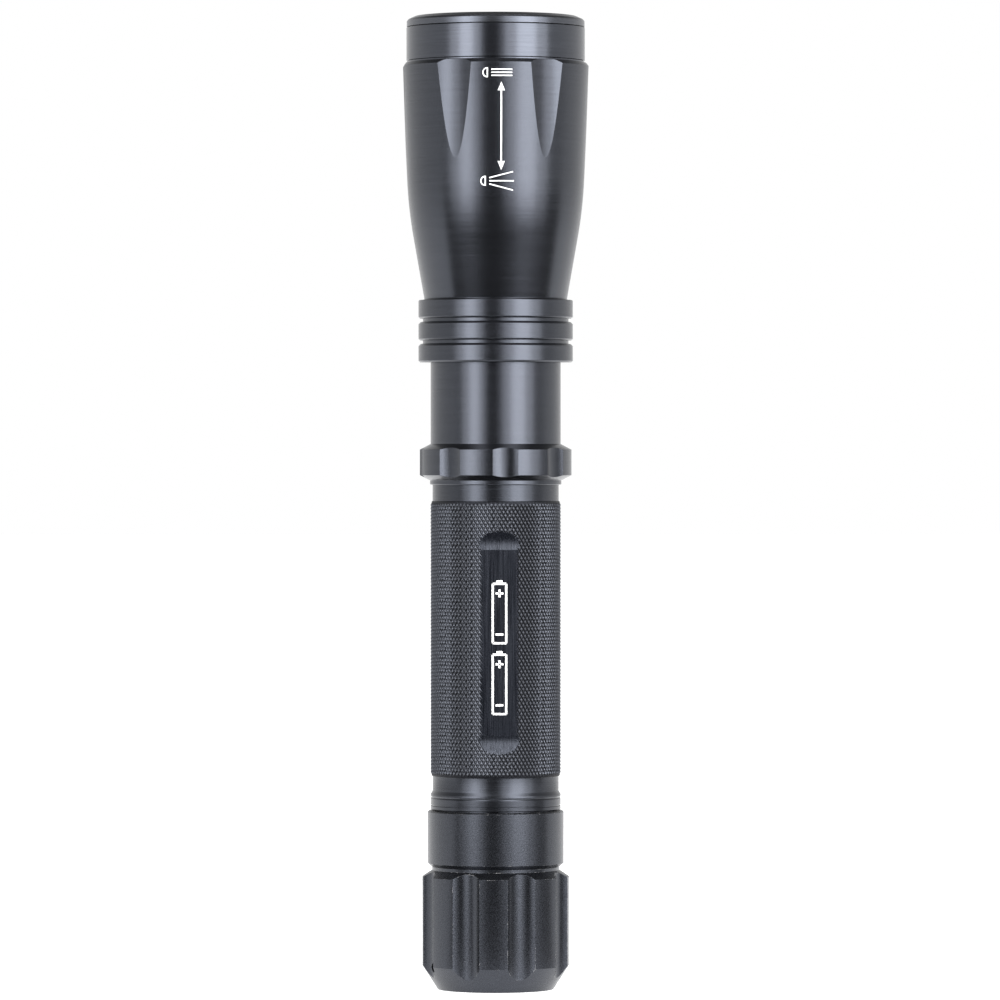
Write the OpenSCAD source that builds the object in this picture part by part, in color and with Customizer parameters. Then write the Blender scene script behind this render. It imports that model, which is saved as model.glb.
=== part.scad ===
// Zoom-focus tactical flashlight, standing on its tail with the lens up.
// Origin at the centre of the tail face, +Z towards the lens, grip pocket facing -Y.
// All sizes in millimetres.

/* [Body] */
// Diameter of the knurled grip
grip_d = 30; // [29.8:0.1:30.2]
// Length of the knurled grip
knurl_length = 63.5; // [63.5:0.5:70]
// Height of the tail cap
cap_height = 41.2; // [41:0.1:41.6]
// Diameter of the fluted part of the tail cap
cap_d = 33.9; // [33.2:0.1:34.5]
// Diameter of the crenellated collar
collar_d = 35; // [34.6:0.1:36]

/* [Focus head] */
// How far the head slides towards the collar
focus_travel = 18.5; // [12:0.5:18.5]
// Length of the head shell, without bezel and front ring
head_length = 69.1; // [69:0.1:72]
// Largest diameter of the head shell
head_d = 43.2; // [43:0.1:44]
// Diameter of the cooling fins
fin_d = 35.6; // [35:0.1:36.5]
// Diameter of the bezel barrel
bezel_d = 41.16; // [41:0.01:41.4]
// Number of scallops round the head
scallop_count = 6; // [4:1:8]

/* [Cells] */
// Diameter of an AAA cell
cell_d = 10.3; // [10:0.1:10.3]
// Length of an AAA cell with its nub
cell_length = 44.5; // [43.5:0.1:44.5]

/* [Tail] */
// Number of grip flutes on the tail cap
flute_count = 8; // [6:1:10]
// Number of notches in the collar
notch_count = 8; // [6:1:10]
// Diameter of the lanyard hole
lanyard_hole_d = 2.2; // [1.8:0.1:2.4]
// Travel of the tail button
button_travel = 2.5; // [2:0.1:2.5]

/* [Hidden] */
$fn = 96;

// Running clearance between a sliding or turning pair
running_gap = 0.05;
// Small chamfer on turned edges
edge = 0.3;
// Margin by which a cutter passes the surface that it cuts
cut = 1;

// Radii of the turned body
grip_r = grip_d / 2;
waist_r = grip_r - 0.45;
land_r = grip_r;
bore_r = 11.5;
neck_r = grip_r;
tail_thread_r = 13.5;
neck_thread_r = 13.2;
pill_bore_r = 13.05;
collar_r = collar_d / 2;
cap_r = cap_d / 2;
cap_waist_r = cap_r - 2.25;
cap_skirt_r = grip_r + 0.7;

// Heights along the axis, from the tail face up
z_recess = 6.8;
z_web_top = 8.8;
z_boot_rim_top = 10;
z_plunger_flange = 13;
z_switch_top = z_plunger_flange + 3.5 + button_travel;
z_board_top = z_switch_top + 1.2;
z_cell_stack = 24;
z_cap_thread = 25.3;
z_tube_end = 25.5;
z_flange = cap_height + 0.25;
z_knurl = cap_height + 7.9;
z_knurl_top = z_knurl + knurl_length;
z_shoulder = z_knurl_top + 3.7;
z_boss_top = z_shoulder + 9.7;
z_neck = z_shoulder + 9.4;
z_head = z_neck + focus_travel + 0.2;
z_stop = z_head + 12.6;
z_driver = z_shoulder + 14.7;
z_neck_top = z_shoulder + 55.7;
z_led_seat = z_neck_top + 8;
z_head_top = z_head + head_length;
z_barrel = z_head_top + 0.4;
z_ring = z_barrel + 7.9;
z_top = z_ring + 2.4;

// Focus head
fin_count = 3;
head_r = head_d / 2;
fin_r = fin_d / 2;
bezel_r = bezel_d / 2;
guide_r = neck_r + running_gap;
fin_pitch = 5.05;
fin_height = 4.25;
fin_floor_r = fin_r - 1;
z_cone = z_head + 14.7;
z_shoulder_of_cone = z_head + 35.6;
cone_low_r = fin_r - 1.35;
cone_high_r = head_r - 1.47;
blend_radius = 104;
head_wall_bore_r = 17.4;
spigot_bore_r = 19.2;
z_lens_seat = z_head_top - 8.5;
lens_r = 18.6;
z_lens = z_lens_seat + 1;
lens_rim_height = 2.5;
lens_dome_r = 17.6;
lens_dome_height = 11;

// Battery carriers
cells_per_carrier = 3;
carrier_r = 11.2;
carrier_pitch = 52;
carrier_button = 0.8;
carrier_length = carrier_pitch - carrier_button;
carrier_end = 2.6;
cell_ring_r = 6;
carrier_rod_r = 2.2;
carrier_rod_ring_r = 8.9;

// Tail switch
recess_r = 10.4;
aperture_r = 7.5;
switch_bore_r = 12.6;
boot_r = 7;
boot_wall = 1;
z_boot_wall = 4.6;
z_boot_tip = 2;
boot_rim_r = 12.3;
plunger_r = 3;
plunger_flange_r = 4.4;
switch_well_r = 4.8;

// Flutes, notches and scallops. Angles are measured from the -Y side, positive towards +X
notch_phase = 4;
flute_phase = 17.4;
scallop_phase = 30;
lanyard_angle = flute_phase - 90;
lanyard_z = 5.3;
flute_floor_r = cap_r - 1.7;
flute_cutter_r = 4.8;
z_flute_top = cap_height - 12.9;
notch_floor_r = collar_r - 0.84;
notch_cutter_r = 7.5;
scallop_floor_r = head_r - 0.98;
scallop_cutter_r = 17;
z_scallop = z_head_top - 28;

// Helical springs: segments a turn and sides of the wire
coil_steps = 16;
wire_sides = 6;

// ---------- helpers ----------

// Solid of revolution from an outline of [radius, height] points
module turned(outline) {
    rotate_extrude() polygon(outline);
}

// Outline points of a square groove, from its lower edge up
function groove(z, width, outer_r, floor_r) =
    [[outer_r, z], [floor_r, z], [floor_r, z + width], [outer_r, z + width]];

// Plain ring between two radii and two heights
module ring(outer_r, inner_r, z_low, z_high) {
    difference() {
        translate([0, 0, z_low]) cylinder(r = outer_r, h = z_high - z_low);
        translate([0, 0, z_low - cut]) cylinder(r = inner_r, h = z_high - z_low + 2 * cut);
    }
}

// Rubber ring of round section
module o_ring(centre_r, section_r, z) {
    translate([0, 0, z]) rotate_extrude() translate([centre_r, 0]) circle(r = section_r);
}

// Copies of the children round the axis, the first at the given angle from -Y
module around(count, phase) {
    for (i = [0 : count - 1])
        rotate([0, 0, phase - 90 + i * 360 / count]) children();
}

// Vertical round-nosed cutter whose nearest line is at floor_r from the axis
module edge_cutter(cutter_r, floor_r, z_low, z_high) {
    translate([floor_r + cutter_r, 0, z_low]) cylinder(r = cutter_r, h = z_high - z_low);
}

// Segment of a spherical lens or dome, of a base radius and a height, standing on z = 0
module spherical_cap(base_r, height) {
    ball_r = (base_r * base_r + height * height) / (2 * height);
    intersection() {
        translate([0, 0, height - ball_r]) sphere(r = ball_r);
        cylinder(r = base_r + cut, h = height + cut);
    }
}

// Points of a coil of round wire: one ring of points for each step along the helix
function coil_points(low_r, high_r, z_low, z_high, wire_r, turns, steps) = [
    for (i = [0 : steps]) for (k = [0 : wire_sides - 1])
        let (
            t = i / steps,
            turn = 360 * turns * t,
            side = 360 * k / wire_sides,
            r = low_r + (high_r - low_r) * t + wire_r * cos(side),
            z = z_low + wire_r + (z_high - z_low - 2 * wire_r) * t + wire_r * sin(side)
        )
        [r * cos(turn), r * sin(turn), z]
];

// Triangles that join the rings of a coil, and its two end faces
function coil_faces(steps) = concat(
    [for (i = [0 : steps - 1]) for (k = [0 : wire_sides - 1])
        let (a = i * wire_sides + k, b = i * wire_sides + (k + 1) % wire_sides)
        [a, b, a + wire_sides]],
    [for (i = [0 : steps - 1]) for (k = [0 : wire_sides - 1])
        let (a = i * wire_sides + k, b = i * wire_sides + (k + 1) % wire_sides)
        [b, b + wire_sides, a + wire_sides]],
    [[for (k = [0 : wire_sides - 1]) wire_sides - 1 - k]],
    [[for (k = [0 : wire_sides - 1]) steps * wire_sides + k]]
);

// Helical spring between two heights, straight or conical
module coil(low_r, high_r, z_low, z_high, wire_r, turns) {
    steps = ceil(coil_steps * turns);
    polyhedron(
        points = coil_points(low_r, high_r, z_low, z_high, wire_r, turns, steps),
        faces = coil_faces(steps),
        convexity = 10
    );
}

// ---------- focus head ----------

// Points of the large-radius blend where the head's steep and shallow tapers meet
function head_blend(steps) =
    let (
        low_angle = atan2(cone_high_r - cone_low_r, z_shoulder_of_cone - z_cone),
        high_angle = atan2(head_r - cone_high_r, z_head_top - z_shoulder_of_cone),
        reach = blend_radius * tan((low_angle - high_angle) / 2),
        start = [cone_high_r - reach * sin(low_angle), z_shoulder_of_cone - reach * cos(low_angle)],
        centre = start + blend_radius * [-cos(low_angle), sin(low_angle)]
    )
    [for (i = [0 : steps])
        let (a = low_angle + (high_angle - low_angle) * i / steps)
        centre + blend_radius * [cos(a), -sin(a)]];

// Outline of one cooling fin whose lower face is at height z
function fin_outline(z, top_bevel, low_bevel) = [
    [fin_floor_r, z],
    [fin_r - low_bevel, z],
    [fin_r, z + low_bevel],
    [fin_r, z + fin_height - top_bevel],
    [fin_r - top_bevel, z + fin_height],
    [fin_floor_r, z + fin_height]
];

module head_shell() color([0.09, 0.09, 0.1]) difference() {
    turned(concat(
        [[guide_r + edge, z_head]],
        [for (i = [0 : fin_count - 1])
            each fin_outline(z_head + 0.1 + i * fin_pitch, i == fin_count - 1 ? 0.15 : 0.5, 0.35)],
        [[cone_low_r, z_cone]],
        head_blend(8),
        [
            [head_r, z_head_top - 0.8],
            [head_r - 0.7, z_head_top],
            [spigot_bore_r, z_head_top],
            [spigot_bore_r, z_lens_seat],
            [head_wall_bore_r, z_lens_seat],
            [head_wall_bore_r, z_stop + 13],
            [guide_r + 0.65, z_stop + 4],
            [guide_r + 0.65, z_stop],
            [guide_r, z_stop],
            [guide_r, z_head + edge]
        ]
    ));
    around(scallop_count, scallop_phase)
        edge_cutter(scallop_cutter_r, scallop_floor_r, z_scallop, z_head_top + cut);
    for (i = [0, 1])
        ring(guide_r + 1.3, guide_r - cut, z_head + 1.6 + i * fin_pitch, z_head + 3 + i * fin_pitch);
}

module focus_o_rings() color([0.05, 0.05, 0.05])
    for (i = [0, 1])
        o_ring(guide_r + 0.64, 0.64, z_head + 2.3 + i * fin_pitch);

module bezel() color([0.09, 0.09, 0.1]) turned([
    [17.5, z_barrel - 3.9],
    [spigot_bore_r - running_gap - edge, z_barrel - 3.9],
    [spigot_bore_r - running_gap, z_barrel - 3.9 + edge],
    [spigot_bore_r - running_gap, z_head_top + running_gap],
    [bezel_r - 0.3, z_head_top + running_gap],
    [bezel_r - 0.3, z_barrel],
    [bezel_r - 0.15, z_barrel],
    [bezel_r, z_barrel + 0.15],
    [bezel_r, z_ring - 0.25],
    [bezel_r - 0.15, z_ring - 0.1],
    [18.65, z_ring - 0.1],
    [18.65, z_ring - 3.3],
    [17.5, z_ring - 3.3]
]);

module front_ring() color([0.1, 0.1, 0.11]) turned([
    [16.8, z_ring],
    [16.8, z_ring - 3.2],
    [18.6, z_ring - 3.2],
    [18.6, z_ring],
    [bezel_r - 0.08, z_ring],
    [bezel_r - 0.08, z_ring + 1.3],
    [bezel_r - 0.45, z_ring + 1.75],
    [bezel_r - 1.9, z_top],
    [17.9, z_top],
    [17.5, z_top - 0.4]
]);

module lens() color([0.85, 0.92, 0.95, 0.4]) union() {
    translate([0, 0, z_lens]) cylinder(r = lens_r, h = lens_rim_height);
    translate([0, 0, z_lens + lens_rim_height]) spherical_cap(lens_dome_r, lens_dome_height);
}

module lens_gasket() color([0.07, 0.07, 0.07])
    ring(lens_r + 0.3, head_wall_bore_r, z_lens_seat, z_lens);

module lens_o_ring() color([0.07, 0.07, 0.07])
    o_ring(18.22, 0.68, z_lens + lens_rim_height + 0.72);

// ---------- body tube and neck ----------

// Long shallow pocket in the grip, with a rounded trough across each end
module grip_pocket() {
    half_width = 6;
    flat_depth = 0.72;
    trough_r = 6.6;
    trough_depth = 0.84;
    z_low = z_knurl + 8.6;
    z_high = z_knurl_top - 9.9;
    translate([-half_width, -grip_r - cut, z_low])
        cube([2 * half_width, cut + flat_depth, z_high - z_low]);
    for (z = [z_low, z_high])
        translate([-half_width, -grip_r + trough_depth - trough_r, z])
            rotate([0, 90, 0]) cylinder(r = trough_r, h = 2 * half_width);
}

module battery_tube() color([0.11, 0.11, 0.12]) difference() {
    turned(concat(
        [[bore_r, z_tube_end], [tail_thread_r - 0.6, z_tube_end], [tail_thread_r, z_tube_end + 0.6]],
        groove(z_flange - 4.8, 1.2, tail_thread_r, tail_thread_r - 0.86),
        [[tail_thread_r, z_flange], [land_r - 0.15, z_flange], [land_r, z_flange + 0.15]],
        groove(z_flange + 0.85, 0.3, land_r, land_r - 0.3),
        [
            [land_r, z_flange + 2.6],
            [land_r - 0.15, z_flange + 2.85],
            [land_r, z_flange + 3.1],
            [land_r, z_flange + 3.5],
            [waist_r, z_flange + 4.3],
            [waist_r, z_knurl - 0.2],
            [grip_r - edge, z_knurl],
            [grip_r, z_knurl + edge],
            [grip_r, z_knurl_top - edge],
            [grip_r - edge, z_knurl_top],
            [waist_r, z_knurl_top + 0.5],
            [waist_r, z_shoulder],
            [neck_thread_r, z_shoulder]
        ],
        groove(z_shoulder + 1, 1.1, neck_thread_r, neck_thread_r - 0.85),
        [[neck_thread_r, z_boss_top - 0.6], [neck_thread_r - 0.6, z_boss_top], [bore_r, z_boss_top]]
    ));
    grip_pocket();
}

module tail_o_ring() color([0.3, 0.05, 0.04])
    o_ring(tail_thread_r - 0.38, 0.46, z_flange - 4.2);

module tube_o_ring() color([0.3, 0.05, 0.04])
    o_ring(neck_thread_r - 0.4, 0.44, z_shoulder + 1.55);

module neck() color([0.1, 0.1, 0.11]) difference() {
    turned(concat(
        [
            [neck_thread_r + running_gap, z_shoulder],
            [grip_r, z_shoulder],
            [grip_r + 0.15, z_shoulder + 0.15],
            [grip_r + 0.15, z_shoulder + 1],
            [collar_r, z_shoulder + 2.2],
            [collar_r, z_shoulder + 8.1],
            [neck_r, z_neck]
        ],
        groove(z_stop + 0.1, 1.2, neck_r, neck_r - 0.6),
        [
            [neck_r, z_neck_top - 0.4],
            [neck_r - 0.4, z_neck_top],
            [pill_bore_r, z_neck_top],
            [pill_bore_r, z_driver],
            [11.8, z_driver],
            [11.8, z_boss_top + 0.2],
            [neck_thread_r + running_gap, z_boss_top + 0.2]
        ]
    ));
    around(notch_count, notch_phase)
        edge_cutter(notch_cutter_r, notch_floor_r, z_shoulder + 1, z_neck + cut);
}

// Open wire ring that keeps the head from sliding off the neck
module stop_ring() color([0.45, 0.45, 0.47]) difference() {
    ring(neck_r + 0.38, neck_r - 0.58, z_stop + 0.12, z_stop + 1.28);
    translate([-1.5, 0, z_stop - cut]) cube([3, neck_r + 5, 4]);
}

// ---------- light engine ----------

wire_x = 8.2;
wire_r = 0.6;
screw_y = 7.5;
board_thickness = 1.6;

module led_pill() color([0.75, 0.6, 0.35]) difference() {
    turned([
        [11, z_driver + board_thickness],
        [pill_bore_r - running_gap, z_driver + board_thickness],
        [pill_bore_r - running_gap, z_neck_top],
        [14.9, z_neck_top],
        [14.9, z_neck_top + 1.7],
        [14.6, z_neck_top + 2],
        [10.4, z_neck_top + 2],
        [10.4, z_led_seat],
        [0, z_led_seat],
        [0, z_neck_top - 6],
        [11, z_neck_top - 6]
    ]);
    for (side = [-1, 1]) {
        translate([side * wire_x, 0, z_neck_top - 8]) cylinder(r = 1, h = 20);
        translate([0, side * screw_y, z_led_seat - 6]) cylinder(r = 1.02, h = 6 + cut);
    }
}

module led_star() color([0.92, 0.92, 0.9]) difference() {
    translate([0, 0, z_led_seat]) cylinder(r = 10, h = board_thickness);
    for (side = [-1, 1]) {
        translate([side * wire_x, 0, z_led_seat - cut]) cylinder(r = 1.1, h = 4);
        translate([side * (wire_x + 1.5) - 1.5, -1.1, z_led_seat - cut]) cube([3, 2.2, 4]);
        translate([0, side * screw_y, z_led_seat - cut]) cylinder(r = 1.2, h = 4);
    }
}

module led_emitter() color([0.9, 0.8, 0.2])
    translate([-1.75, -1.75, z_led_seat + board_thickness]) cube([3.5, 3.5, 0.9]);

module led_dome() color([0.95, 0.9, 0.6, 0.6])
    translate([0, 0, z_led_seat + 2.5]) spherical_cap(1.6, 1.55);

module led_spacer() color([0.96, 0.96, 0.94])
    ring(4.6, 2.9, z_led_seat + board_thickness, z_led_seat + 2.9);

module star_screws() color([0.7, 0.7, 0.72])
    for (side = [-1, 1]) translate([0, side * screw_y, z_led_seat]) difference() {
        union() {
            translate([0, 0, -5]) cylinder(r = 1, h = 6.6);
            translate([0, 0, board_thickness]) cylinder(r = 1.85, h = 1.2);
        }
        for (turn = [0, 90]) rotate([0, 0, turn])
            translate([-1.2, -0.2, 2.1]) cube([2.4, 0.4, 2]);
    }

// Two insulated wires from the driver up through the pill, each bent over onto its pad
module led_wires() color([0.75, 0.1, 0.08])
    for (side = [0, 180]) rotate([0, 0, side]) {
        bend_r = 1.2;
        z_bend = z_led_seat + board_thickness;
        z_foot = z_driver + board_thickness;
        translate([wire_x, 0, z_foot]) cylinder(r = wire_r, h = z_bend - z_foot);
        translate([wire_x - bend_r, 0, z_bend]) rotate([90, 0, 0])
            rotate_extrude(angle = 90) translate([bend_r, 0]) circle(r = wire_r);
        translate([wire_x - bend_r, 0, z_bend + bend_r]) rotate([0, -90, 0])
            cylinder(r = wire_r, h = 1);
    }

module driver_board() color([0.1, 0.35, 0.18])
    translate([0, 0, z_driver]) cylinder(r = pill_bore_r - 0.1, h = board_thickness);

// Inductor, controller and capacitors on the driver board
module driver_parts() color([0.2, 0.2, 0.22]) translate([0, 0, z_driver + board_thickness]) {
    ring_r = 3.2;
    difference() {
        translate([0, 4.2, 0]) cylinder(r = ring_r, h = 3.4);
        translate([0, 4.2, 2.6]) cylinder(r = ring_r - 1, h = 2);
    }
    translate([-2.5, -4.6, 0]) cube([5, 4, 1.5]);
    for (x = [-6, -4.2, 3.2, 5]) translate([x, -7.2, 0]) cube([1, 1.8, 0.9]);
}

module driver_spring() color([0.85, 0.75, 0.4])
    coil(3, 5, z_cell_stack + 2 * carrier_pitch, z_driver, 0.4, 2.5);

// ---------- battery carriers ----------

// Angle of cell i round the carrier
function cell_angle(i) = 90 + i * 360 / cells_per_carrier;

// Height of the lower end of a cell: every second one stands the other way up
function cell_lift(i) = i % 2 == 0 ? 1.3 : 0.2;

module carrier(z) {
    for (level = [0, carrier_length - carrier_end])
        translate([0, 0, z + level]) cylinder(r = carrier_r, h = carrier_end);
    for (i = [0 : cells_per_carrier - 1])
        rotate([0, 0, cell_angle(i) + 180 / cells_per_carrier])
            translate([carrier_rod_ring_r, 0, z + carrier_end])
                cylinder(r = carrier_rod_r, h = carrier_length - 2 * carrier_end);
}

module cells(z) {
    nub_r = 1.9;
    nub_h = 0.9;
    for (i = [0 : cells_per_carrier - 1]) rotate([0, 0, cell_angle(i)])
        translate([cell_ring_r, 0, z + carrier_end + cell_lift(i)]) {
            upright = i % 2 == 0;
            translate([0, 0, upright ? 0 : nub_h]) cylinder(r = cell_d / 2, h = cell_length - nub_h);
            translate([0, 0, upright ? cell_length - nub_h : 0]) cylinder(r = nub_r, h = nub_h);
        }
}

// Button and plate contacts on the carrier's ends, and a plate and a spring at each cell
module contacts(z) {
    z_low = z + carrier_end;
    z_high = z + carrier_length - carrier_end;
    translate([0, 0, z + carrier_length]) cylinder(r = 3, h = carrier_button);
    for (i = [0 : cells_per_carrier - 1]) rotate([0, 0, cell_angle(i)])
        translate([cell_ring_r, 0, 0]) {
            upright = i % 2 == 0;
            translate([0, 0, upright ? z_high - 0.2 : z_low]) cylinder(r = 3.4, h = 0.2);
            coil(3, 2, upright ? z_low : z_high - 1.3, upright ? z_low + 1.3 : z_high, 0.3, 1.5);
        }
}

module rear_carrier() color([0.12, 0.12, 0.12]) carrier(z_cell_stack);
module front_carrier() color([0.12, 0.12, 0.12]) carrier(z_cell_stack + carrier_pitch);
module rear_cells() color([0.65, 0.5, 0.2]) cells(z_cell_stack);
module front_cells() color([0.65, 0.5, 0.2]) cells(z_cell_stack + carrier_pitch);
module rear_contacts() color([0.8, 0.8, 0.78]) contacts(z_cell_stack);
module front_contacts() color([0.8, 0.8, 0.78]) contacts(z_cell_stack + carrier_pitch);

// ---------- tail cap and switch ----------

module tail_cap() color([0.1, 0.1, 0.11]) difference() {
    turned([
        [recess_r + 0.4, 0],
        [cap_r - 3.6, 0],
        [cap_r, 5.5],
        [cap_r, cap_height - 15.2],
        [cap_waist_r, cap_height - 13.7],
        [cap_waist_r, cap_height - 13],
        [cap_skirt_r, cap_height - 12.1],
        [cap_skirt_r, cap_height - edge],
        [cap_skirt_r - edge, cap_height],
        [tail_thread_r + 0.4, cap_height],
        [tail_thread_r + 0.1, cap_height - edge],
        [tail_thread_r + 0.1, z_cap_thread],
        [switch_bore_r, z_cap_thread],
        [switch_bore_r, z_web_top],
        [aperture_r, z_web_top],
        [aperture_r, z_recess],
        [recess_r, z_recess],
        [recess_r, 0.4]
    ]);
    around(flute_count, flute_phase)
        edge_cutter(flute_cutter_r, flute_floor_r, -cut, z_flute_top);
    rotate([0, 0, lanyard_angle - 90]) translate([recess_r - cut, 0, lanyard_z])
        rotate([0, 90, 0]) cylinder(r = lanyard_hole_d / 2, h = cap_r - recess_r + 2 * cut);
}

// Rubber boot: a clamped rim and a hollow dome that shows in the tail recess
module switch_boot() color([0.06, 0.06, 0.06]) difference() {
    dome_height = z_boot_wall - z_boot_tip;
    union() {
        translate([0, 0, z_web_top]) cylinder(r = boot_rim_r, h = z_boot_rim_top - z_web_top);
        translate([0, 0, z_boot_wall]) cylinder(r = boot_r, h = z_boot_rim_top - z_boot_wall);
        translate([0, 0, z_boot_wall]) mirror([0, 0, 1]) spherical_cap(boot_r, dome_height);
    }
    translate([0, 0, z_boot_wall]) cylinder(r = boot_r - boot_wall, h = 10);
    translate([0, 0, z_boot_wall]) mirror([0, 0, 1])
        spherical_cap(boot_r - boot_wall, dome_height - boot_wall);
}

module switch_plunger() color([0.85, 0.85, 0.82]) turned([
    [0, 3.7],
    [3.6, 4.2],
    [4.6, 4.8],
    [4.6, 5.8],
    [plunger_r, 6.8],
    [plunger_r, z_plunger_flange],
    [plunger_flange_r, z_plunger_flange],
    [plunger_flange_r, z_plunger_flange + 1.2],
    [1.6, z_plunger_flange + 1.2],
    [1.6, z_plunger_flange + 2.6],
    [0, z_plunger_flange + 2.6]
]);

module switch_body() color([0.15, 0.15, 0.16]) turned([
    [plunger_r + running_gap, z_boot_rim_top],
    [boot_rim_r, z_boot_rim_top],
    [boot_rim_r, z_switch_top],
    [switch_well_r, z_switch_top],
    [switch_well_r, z_plunger_flange],
    [plunger_r + running_gap, z_plunger_flange]
]);

module switch_spring() color([0.8, 0.8, 0.8])
    coil(3.4, 3.4, z_plunger_flange + 1.2, z_switch_top, 0.3, 3.5);

module switch_board() color([0.1, 0.35, 0.18])
    translate([0, 0, z_switch_top]) cylinder(r = boot_rim_r, h = z_board_top - z_switch_top);

module switch_retainer() color([0.6, 0.6, 0.62]) difference() {
    ring(switch_bore_r - running_gap, bore_r, z_board_top, z_cap_thread - 0.1);
    for (side = [0, 180]) rotate([0, 0, side])
        translate([bore_r - cut, -1, z_cap_thread - 1.6]) cube([4, 2, 3]);
}

module tail_spring() color([0.85, 0.75, 0.4])
    coil(7, 4, z_board_top, z_cell_stack, 0.45, 2.5);

// ---------- one branch for each node ----------

front_ring();
bezel();
lens_o_ring();
lens();
lens_gasket();
head_shell();
focus_o_rings();
neck();
stop_ring();
tube_o_ring();
battery_tube();
tail_o_ring();
led_pill();
led_star();
led_emitter();
led_dome();
led_spacer();
star_screws();
led_wires();
driver_board();
driver_parts();
driver_spring();
front_carrier();
front_contacts();
front_cells();
rear_carrier();
rear_contacts();
rear_cells();
tail_spring();
tail_cap();
switch_boot();
switch_body();
switch_board();
switch_retainer();
switch_spring();
switch_plunger();
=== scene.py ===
"""Looks of the zoom-focus flashlight: knurled tube, rubber boot, printed marks, materials, studio, camera.

Lengths are in millimetres, and MM turns them into metres. Only those of the camera, the lights and the cards
are in metres. Angles are in degrees."""

import math

import bmesh
import bpy
from mathutils import Matrix, Vector
from mathutils.bvhtree import BVHTree


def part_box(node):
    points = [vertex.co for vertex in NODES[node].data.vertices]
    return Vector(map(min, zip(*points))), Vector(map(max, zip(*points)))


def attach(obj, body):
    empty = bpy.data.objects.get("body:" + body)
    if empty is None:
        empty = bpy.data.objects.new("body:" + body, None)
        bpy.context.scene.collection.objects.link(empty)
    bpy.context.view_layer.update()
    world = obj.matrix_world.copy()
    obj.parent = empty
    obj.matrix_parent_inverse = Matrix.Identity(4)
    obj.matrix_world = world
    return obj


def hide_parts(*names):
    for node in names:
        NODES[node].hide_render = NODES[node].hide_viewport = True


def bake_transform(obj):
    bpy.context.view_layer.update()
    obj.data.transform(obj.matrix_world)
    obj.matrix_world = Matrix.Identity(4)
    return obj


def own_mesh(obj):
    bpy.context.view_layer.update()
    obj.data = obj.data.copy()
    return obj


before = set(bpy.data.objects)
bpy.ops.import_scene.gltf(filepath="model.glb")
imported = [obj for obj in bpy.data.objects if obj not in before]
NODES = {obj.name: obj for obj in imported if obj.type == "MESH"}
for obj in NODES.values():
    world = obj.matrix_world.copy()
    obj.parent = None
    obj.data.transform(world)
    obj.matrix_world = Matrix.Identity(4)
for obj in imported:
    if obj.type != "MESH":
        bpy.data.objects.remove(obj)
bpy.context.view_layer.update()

MM = 0.001

# ---------------------------------------------------------------- sizes

# Camera in metres, worked out from the way the rims of the light curve; its lens and sensor in millimetres
CAMERA_DISTANCE = 1.616
CAMERA_HEIGHT = 0.1235
CAMERA_AZIMUTH = -3.5
CAMERA_LENS = 252.2
CAMERA_SENSOR = 36
AIM_HEIGHT = 0.11277
AIM_RIGHT = 0.0010


def top_of(node):
    """Height of a node's upper end, in millimetres."""
    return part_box(node)[1].z / MM


def foot_of(node):
    """Height of a node's lower end, in millimetres."""
    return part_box(node)[0].z / MM


# Heights along the tube
CAP_TOP = top_of("tail_cap")
TUBE_END = foot_of("battery_tube")
TUBE_TOP = top_of("battery_tube")
FLANGE = CAP_TOP + 0.25
KNURL_LOW = CAP_TOP + 7.9
SHOULDER = foot_of("neck")
KNURL_HIGH = SHOULDER - 3.7

# Radii of the tube
GRIP_R = 15.05
WAIST_R = 14.55
LAND_R = 15.0
TUBE_BORE_R = 11.5
TAIL_THREAD_R = 13.5
NECK_THREAD_R = 13.2

# Diamond knurl
KNURL_COUNT = 99
KNURL_PITCH = 1.62
KNURL_DEPTH = 0.30
KNURL_CREST = 0.93
KNURL_STEPS = 4
KNURL_FADE_ROWS = 2
KNURL_RUNOUT = 0.12
KNURL_MARGIN = 0.3

# Land between the tail flange and the waist: a square groove, then a shallow score line
LAND_CHAMFER = 0.15
LAND_GROOVE_LOW = FLANGE + 0.85
LAND_GROOVE_HIGH = FLANGE + 1.15
LAND_GROOVE_DEPTH = 0.3
LAND_GROOVE_LEAN = 0.02
SCORE_DEPTH = 0.16

# Seal grooves at the tube's ends, and the chamfer there
SEAL_GROOVE_LEAN = 0.01
NECK_GROOVE_LOW = SHOULDER + 0.99
NECK_GROOVE_HIGH = SHOULDER + 2.11
NECK_GROOVE_DEPTH = 0.85
TAIL_GROOVE_LOW = FLANGE - 4.8
TAIL_GROOVE_HIGH = FLANGE - 3.6
TAIL_GROOVE_DEPTH = 0.86
END_CHAMFER = 0.6

# Tail thread
THREAD_PITCH = 1.25
THREAD_DEPTH = 0.55
THREAD_LOW = TUBE_END + 0.7
THREAD_TURNS = 7
THREAD_STEPS = 8
THREAD_COLUMNS = 120
TOOTH_SLOPE = 2.4
TOOTH_ROOT = 0.3

# Pocket in the grip: a flat with a round trough across each end
POCKET_HALF_WIDTH = 6
POCKET_FLAT = 0.80
TROUGH_R = 6.6
TROUGH_DEPTH = 0.92
POCKET_LOW = KNURL_LOW + 8.6
POCKET_HIGH = KNURL_HIGH - 9.9

# Button boot
BOOT_R = 7.0
BOOT_WALL = 1.0
BOOT_RIM_R = 12.3
BOOT_TIP = foot_of("switch_boot")
BOOT_SPRING_LINE = 4.6
BOOT_RIM = top_of("switch_boot")
WEB_TOP = 8.8
BOOT_COLUMNS = 96
DOME_STEPS = 60
LINING_STEPS = 20
DOME_TIP_R = 0.02

# Raised rings on the boot's dome
RIB_HEIGHT = 0.16
RIB_PITCH = 1.4
RIB_INNER_R = 0.6
RIB_OUTER_R = 5.4

# Printed marks: how they lie on the surface
PRINT_LIFT = 0.012
PRINT_THICKNESS = 0.02
PRINT_STEP = 0.4
RAY_START = -60

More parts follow.
